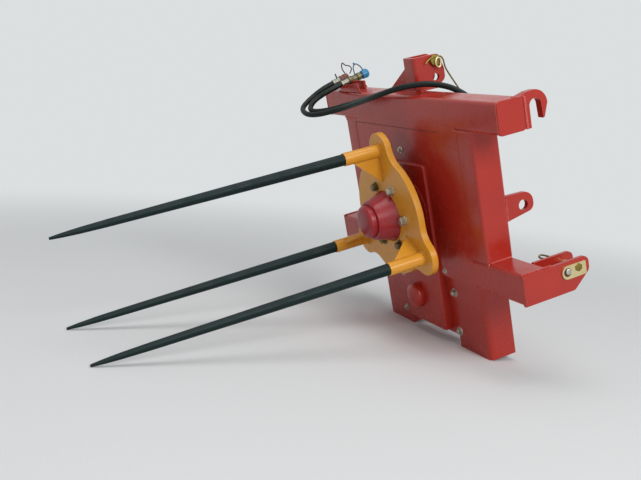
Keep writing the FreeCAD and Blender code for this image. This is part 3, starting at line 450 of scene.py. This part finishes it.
def hex_bolt(shape, centre, direction, flats, height, washer=0.0, washer_width=0.0):
    """A hexagon head with a chamfered top and a washer under it."""
    direction = Vector(direction).normalized()
    turn = direction.to_track_quat("Z", "Y").to_matrix().to_4x4()
    foot = Vector(centre)
    if washer:
        bmesh.ops.create_cone(shape, cap_ends=True, cap_tris=False, segments=32, radius1=washer_width / 2,
                              radius2=washer_width / 2 - 0.0004, depth=washer,
                              matrix=Matrix.Translation(foot + direction * washer / 2) @ turn)
        foot = foot + direction * washer
    corner = flats / math.sqrt(3)
    bmesh.ops.create_cone(shape, cap_ends=True, cap_tris=False, segments=6, radius1=corner, radius2=corner,
                          depth=height * 0.86, matrix=Matrix.Translation(foot + direction * height * 0.43) @ turn)
    bmesh.ops.create_cone(shape, cap_ends=True, cap_tris=False, segments=24, radius1=flats * 0.5,
                          radius2=flats * 0.43, depth=height * 0.14,
                          matrix=Matrix.Translation(foot + direction * height * 0.93) @ turn)


# Darker brownish zinc: the cotters' own aged plate, and painted shade on four of the hub bolts.
dark_zinc = plating("aged zinc plate, brownish", "#8b7f5e", "#5d5340", 0.34)
hub_bolt_shapes = bmesh.new()
shaded_bolt_shapes = bmesh.new()
bolt_circle = 0.114
for k in range(6):
    turn = math.radians(60 * k)
    hex_bolt(hub_bolt_shapes if k < 2 else shaded_bolt_shapes,
             (bolt_circle * math.cos(turn), -0.105, rotor_axis_z + bolt_circle * math.sin(turn)), (0, -1, 0),
             0.024, 0.015, 0.003, 0.037)
piece("hub_bolts_plated", hub_bolt_shapes, bright_zinc, body="rotor", stands_for=("hub_bolts",))
piece("hub_bolts_painted_shade", shaded_bolt_shapes, dark_zinc, body="rotor")
finished("tine_nuts", bright_zinc, edge=0.0005)
bare_steel = plating("bare turned steel, oiled", "#9a9c9e", "#7f8285", 0.30)
finished("rotor_shaft", bare_steel, edge=0.0)

# Zinc-plated screws hold the drive cover and the case behind it to the front sheet. They have
# hexagon heads on wide washers.
sheet_screws = bmesh.new()
for x, y, z, flats in ((-0.030, -0.0002, 0.708, 0.013), (0.160, -0.0002, 0.291, 0.011),
                       (0.172, 0.018, 0.207, 0.018), (0.172, 0.018, 0.060, 0.018),
                       (-0.203, 0.018, 0.056, 0.014), (-0.172, 0.018, 0.207, 0.018)):
    hex_bolt(sheet_screws, (x, y, z), (0, -1, 0), flats, flats * 0.6, 0.0015, flats * 1.9)
piece("sheet_screws", sheet_screws, bright_zinc)

# Hitch pins: turned steel, zinc-plated. Each lower pin has a flat retaining plate outside the
# outer ear, held by a bolt through it, and a spring cotter through its inner end.
# Yellow zinc darkened to olive-brown as painted shade, on the top-link pin, its handle and the plate bolts.
yellow_zinc_olive_painted_shade = plating("yellow zinc, olive, darkened as painted shade", "#9a8744", "#6f6233", 0.38)
finished("top_link_pin", yellow_zinc_olive_painted_shade, edge=0.0025)
outward = Matrix.Rotation(math.radians(90), 4, "Y")
pin_ends = bmesh.new()
pin_end_painted_shade = bmesh.new()
plate_bolts = bmesh.new()
for side, label in ((1, "right"), (-1, "left")):
    lower_pin = bmesh.new()
    bmesh.ops.create_cone(lower_pin, cap_ends=True, segments=48, radius1=0.014, radius2=0.014, depth=0.124,
                          matrix=Matrix.Translation((side * 0.552, 0.213, 0.338)) @ outward)
    rims = [e for e in lower_pin.edges if abs((e.verts[0].co - e.verts[1].co).x) < 0.001]
    bmesh.ops.bevel(lower_pin, geom=rims, offset=0.0015, segments=2, profile=0.5, affect="EDGES", material=-1)
    plate = bmesh.new()
    bmesh.ops.create_cube(plate, size=1.0, matrix=Matrix.Translation((side * 0.61675, 0.189, 0.338))
                          @ Matrix.Diagonal((0.0055, 0.092, 0.044, 1.0)))
    ends = [e for e in plate.edges if abs((e.verts[0].co - e.verts[1].co).x) > 0.001]
    bmesh.ops.bevel(plate, geom=[e for e in ends if e.verts[0].co.y < 0.15], offset=0.0205, segments=8,
                    profile=0.5, affect="EDGES", material=-1)
    ends = [e for e in plate.edges if abs((e.verts[0].co - e.verts[1].co).x) > 0.001 and e.verts[0].co.y > 0.23]
    bmesh.ops.bevel(plate, geom=ends, offset=0.005, segments=4, profile=0.5, affect="EDGES", material=-1)
    join(lower_pin, plate)
    piece(label + "_lower_pin_plated", lower_pin, yellow_zinc, stands_for=(label + "_lower_pin",))
    # A dark disc just behind each pin's end, showing to one side of it, is painted shade.
    bmesh.ops.create_cone(pin_end_painted_shade, cap_ends=True, segments=32, radius1=0.0140, radius2=0.0140,
                          depth=0.0006, matrix=Matrix.Translation((side * 0.6195, 0.163, 0.3390)) @ outward)
    bmesh.ops.create_uvsphere(pin_ends, u_segments=24, v_segments=12, radius=0.0105,
                              matrix=Matrix.Translation((side * 0.6195, 0.1675, 0.3400))
                              @ Matrix.Diagonal((0.22, 1.0, 1.0, 1.0)))
    hex_bolt(plate_bolts, (side * 0.6190, 0.206, 0.344), (side, 0, 0), 0.024, 0.0027)
piece("lower_pin_ends", pin_ends, bright_zinc)
piece("lower_pin_end_painted_shade", pin_end_painted_shade, painted_shade)
piece("retaining_plate_bolts", plate_bolts, yellow_zinc_olive_painted_shade)


def wire(name, points, thickness, material, closed=False):
    """A bent wire or strap of round section along a smooth line, given upright."""
    line = bpy.data.curves.new(name + "_line", "CURVE")
    line.dimensions = "3D"
    line.bevel_depth = thickness / 2
    line.bevel_resolution = 3
    line.resolution_u = 8
    line.use_fill_caps = True
    spline = line.splines.new("NURBS")
    spline.points.add(len(points) - 1)
    for point, spot in zip(spline.points, points):
        point.co = (*(leaning @ Vector(spot)), 1.0)
    spline.order_u = 3
    if closed:
        spline.use_cyclic_u = True
    else:
        spline.use_endpoint_u = True
    line.materials.append(material)
    made = bpy.data.objects.new(name, line)
    bpy.context.collection.objects.link(made)
    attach(made, "frame")


for side, label in ((1, "right"), (-1, "left")):
    wire(label + "_spring_cotter", [(side * 0.502, 0.204, 0.352), (side * 0.502, 0.176, 0.366),
                                    (side * 0.502, 0.156, 0.376), (side * 0.502, 0.147, 0.371),
                                    (side * 0.502, 0.154, 0.364), (side * 0.502, 0.182, 0.352),
                                    (side * 0.502, 0.206, 0.334)], 0.0060, dark_zinc)
wire("top_link_pin_handle", [(0.050, 0.104, 0.992), (0.050, 0.118, 1.006), (0.050, 0.150, 1.0105),
                             (0.050, 0.168, 1.008), (0.050, 0.176, 0.996), (0.049, 0.178, 0.985),
                             (0.047, 0.181, 0.968), (0.046, 0.190, 0.948), (0.045, 0.236, 0.866),
                             (0.045, 0.246, 0.846)],
     0.0055, yellow_zinc_olive_painted_shade)
wire("top_link_pin_clip", [(0.054, 0.146, 1.004), (0.054, 0.158, 1.006), (0.054, 0.163, 0.994),
                           (0.054, 0.160, 0.975), (0.054, 0.150, 0.972), (0.054, 0.140, 0.984)],
     0.0065, yellow_zinc, closed=True)

# The hydraulic motor is bolted to the back of the chain case: a cast body under black enamel,
# with plated screws in its flange.
motor_enamel = enamel("motor enamel, black", "#191b1d", "#101214", 0.40, peel=0.5)
finished("hydraulic_motor", motor_enamel, edge=0.002)
motor_screws = bmesh.new()
for x in (-0.104, 0.002):
    hex_bolt(motor_screws, (x, 0.116, 0.165), (0, 1, 0), 0.017, 0.009, 0.002, 0.024)
piece("motor_screws", motor_screws, bright_zinc)

# Two rubber hoses of 20 mm. They rise from the motor behind the frame, cross the beam in front
# of the top-link bracket, and turn back at the beam's end to their couplings.


def rubber(name, code, worn_code):
    """Hose cover: black rubber with a fine wrap texture about 1 mm wide and a dusty bloom."""
    material = new_material(name)
    where = node(material, "ShaderNodeTexCoord").outputs["Object"]
    bloom = node(material, "ShaderNodeTexNoise", {"Scale": 1 / 0.060, "Detail": 4.0}, {"Vector": where})
    tone = node(material, "ShaderNodeMix", {"data_type": "RGBA", 6: linear(code), 7: linear(worn_code)},
                {0: bloom.outputs["Fac"]})
    wrap = node(material, "ShaderNodeTexNoise", {"Scale": 1 / 0.0012, "Detail": 2.0}, {"Vector": where})
    skin = node(material, "ShaderNodeBump", {"Strength": 0.25, "Distance": 0.0002},
                {"Height": wrap.outputs["Fac"]})
    cover = node(material, "ShaderNodeBsdfPrincipled", {"Roughness": 0.45, "IOR": 1.32},
                 {"Base Color": tone.outputs[2], "Normal": skin.outputs[0]})
    node(material, "ShaderNodeOutputMaterial", links={"Surface": cover.outputs[0]})
    return material


hose_rubber = rubber("hose cover, black rubber", "#07130e", "#0f1d17")


def hose(name, points):
    """A hose along its route, given upright; it leaves one ferrule and ends in another."""
    line = bpy.data.curves.new(name + "_line", "CURVE")
    line.dimensions = "3D"
    line.bevel_depth = 0.010
    line.bevel_resolution = 6
    line.resolution_u = 12
    line.use_fill_caps = True
    spline = line.splines.new("NURBS")
    spline.points.add(len(points) - 1)
    for point, spot in zip(spline.points, points):
        point.co = (*(leaning @ Vector(spot)), 1.0)
    spline.order_u = 3
    spline.use_endpoint_u = True
    line.materials.append(hose_rubber)
    made = bpy.data.objects.new(name + "_rubber", line)
    bpy.context.collection.objects.link(made)
    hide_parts(name)
    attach(made, "frame")


hose("front_hose", [(-0.078, 0.206, 0.273), (-0.078, 0.206, 0.356),
                    (-0.020, 0.176, 0.460), (0.080, 0.166, 0.570), (0.185, 0.160, 0.665),
                    (0.258, 0.158, 0.755), (0.266, 0.152, 0.852), (0.213, 0.124, 0.899),
                    (0.153, 0.105, 0.922), (0.110, 0.049, 0.938), (0.055, -0.018, 0.936),
                    (-0.047, -0.066, 0.909), (-0.189, -0.065, 0.881), (-0.305, -0.077, 0.856),
                    (-0.388, -0.166, 0.844), (-0.476, -0.165, 0.864), (-0.515, -0.105, 0.890),
                    (-0.500, -0.03728, 0.92556), (-0.500, 0.001, 0.933)])
hose("rear_hose", [(-0.024, 0.206, 0.273), (-0.024, 0.206, 0.356),
                   (0.024, 0.196, 0.450), (0.110, 0.198, 0.560), (0.190, 0.194, 0.665),
                   (0.238, 0.186, 0.762), (0.238, 0.167, 0.850), (0.188, 0.139, 0.896),
                   (0.132, 0.120, 0.917), (0.086, 0.065, 0.936), (0.025, -0.012, 0.930),
                   (-0.058, -0.036, 0.911), (-0.189, -0.034, 0.887), (-0.299, -0.050, 0.867),
                   (-0.372, -0.109, 0.853), (-0.432, -0.150, 0.857), (-0.476, -0.108, 0.887),
                   (-0.450, -0.03411, 0.91825), (-0.450, 0.0135, 0.9275)])

# The couplings lie in a holder on the beam: crimped steel ferrules, a zinc-plated nose with a
# blue dust cap on the rear hose, and a red-brown dust cap on the front one. The caps hang on
# moulded straps.
upturn = math.atan2(0.19081, 0.98163)


def along(shape, start):
    """Turns a shape made along Y into the couplings' direction and moves it to its start."""
    bmesh.ops.transform(shape, matrix=Matrix.Translation(start) @ Matrix.Rotation(upturn, 4, "X"),
                        verts=shape.verts)
    return shape


front_start = (-0.500, 0.001, 0.933)
rear_start = (-0.450, 0.0135, 0.9275)
ferrule = [(0.0, 0.0), (0.0125, 0.0), (0.0130, 0.0015), (0.0130, 0.006), (0.0118, 0.0075),
           (0.0118, 0.0105), (0.0130, 0.012), (0.0130, 0.016), (0.0118, 0.0175), (0.0118, 0.0205),
           (0.0130, 0.022), (0.0130, 0.031), (0.0115, 0.034), (0.0, 0.034)]
ferrule_zinc = plating("crimped ferrule, dull zinc", "#a9a89d", "#77766b", 0.36)
ferrules = along(spun(ferrule), front_start)
join(ferrules, along(spun(ferrule), rear_start))
for x in (-0.078, -0.024):
    port_ferrule = spun(ferrule)
    bmesh.ops.transform(port_ferrule, matrix=Matrix.Translation((x, 0.206, 0.273))
                        @ Matrix.Rotation(math.radians(-90), 4, "X"), verts=port_ferrule.verts)
    join(ferrules, port_ferrule)
piece("end_ferrules_crimped", ferrules, ferrule_zinc, stands_for=("end_ferrules",))

nose = along(spun([(0.0, 0.050), (0.0125, 0.050), (0.0135, 0.0515), (0.0135, 0.066), (0.0120, 0.0675),
                   (0.0120, 0.0705), (0.0150, 0.0725), (0.0150, 0.0865), (0.0135, 0.088),
                   (0.0105, 0.0885), (0.0105, 0.097), (0.0, 0.097)]), rear_start)
nut = bmesh.new()
bmesh.ops.create_cone(nut, cap_ends=True, segments=6, radius1=0.0165, radius2=0.0165, depth=0.016,
                      matrix=Matrix.Translation((0.0, 0.042, 0.0)) @ Matrix.Rotation(math.radians(90), 4, "X"))
bmesh.ops.bevel(nut, geom=list(nut.edges), offset=0.0008, segments=2, profile=0.5, affect="EDGES", material=-1)
join(nose, along(nut, rear_start))
piece("rear_coupling_turned", nose, plating("coupling nose, olive zinc", "#7c775c", "#545040", 0.33),
      stands_for=("rear_coupling",))

blue_plastic = enamel("blue dust cap, moulded plastic", "#1f86b6", "#176a96", 0.28, peel=0.2)
blue_cap = [(0.0, 0.094), (0.0150, 0.094), (0.0165, 0.0955), (0.0172, 0.1000), (0.0178, 0.1080)]
blue_cap += arc((0.0060, 0.1130), 0.0125, 0.0, 80.0, 8)
blue_cap += [(0.0, 0.1262)]
piece("blue_cap_moulded", along(spun(blue_cap), rear_start), blue_plastic, stands_for=("blue_cap",))
wire("blue_cap_strap", [(-0.450, 0.115, 0.962), (-0.450, 0.110, 0.976), (-0.450, 0.102, 0.984),
                        (-0.450, 0.094, 0.991), (-0.450, 0.086, 0.994), (-0.450, 0.079, 0.990),
                        (-0.450, 0.074, 0.978), (-0.450, 0.076, 0.964), (-0.450, 0.078, 0.950)],
     0.0044, enamel("dust cap strap, dark blue-grey", "#35506b", "#2b4058", 0.45))
blue_knob = bmesh.new()
bmesh.ops.create_icosphere(blue_knob, subdivisions=3, radius=0.004,
                           matrix=Matrix.Translation((-0.450, 0.080, 0.996)))
piece("blue_cap_knob", blue_knob, blue_plastic)

red_plastic = enamel("red-brown dust cap, moulded plastic", "#7c3a2c", "#4d241c", 0.35, peel=0.4)
red_cap = [(0.0, 0.034), (0.0140, 0.034), (0.0155, 0.0355), (0.0155, 0.041), (0.0140, 0.0425),
           (0.0140, 0.0475), (0.0158, 0.049), (0.0158, 0.064), (0.0140, 0.069), (0.0080, 0.0698),
           (0.0, 0.070)]
piece("red_cap_moulded", along(spun(red_cap), front_start), red_plastic, stands_for=("red_cap",))
strap_plastic = enamel("dust cap strap, dark brown", "#4a2f2a", "#382420", 0.5)
wire("red_cap_strap", [(-0.500, 0.060, 0.962), (-0.500, 0.052, 0.974), (-0.500, 0.050, 0.990),
                       (-0.500, 0.054, 1.004), (-0.500, 0.060, 1.000), (-0.500, 0.068, 0.990),
                       (-0.500, 0.082, 0.988), (-0.500, 0.092, 0.978), (-0.500, 0.090, 0.966),
                       (-0.500, 0.080, 0.956)], 0.0044, strap_plastic)
wire("coupling_latch", [(-0.500, 0.024, 0.944), (-0.500, 0.020, 0.956), (-0.500, 0.017, 0.967)],
     0.0055, enamel("latch, dark grey", "#3a3d3f", "#2e3133", 0.4))
holder_plate = flat_plate([(-0.470, 0.9030), (-0.437, 0.9120), (-0.424, 0.9230), (-0.400, 0.9290),
                           (-0.298, 0.9380), (-0.278, 0.9030)], 0.0030, 0.0080)
piece("coupling_holder_front", holder_plate, red_enamel)
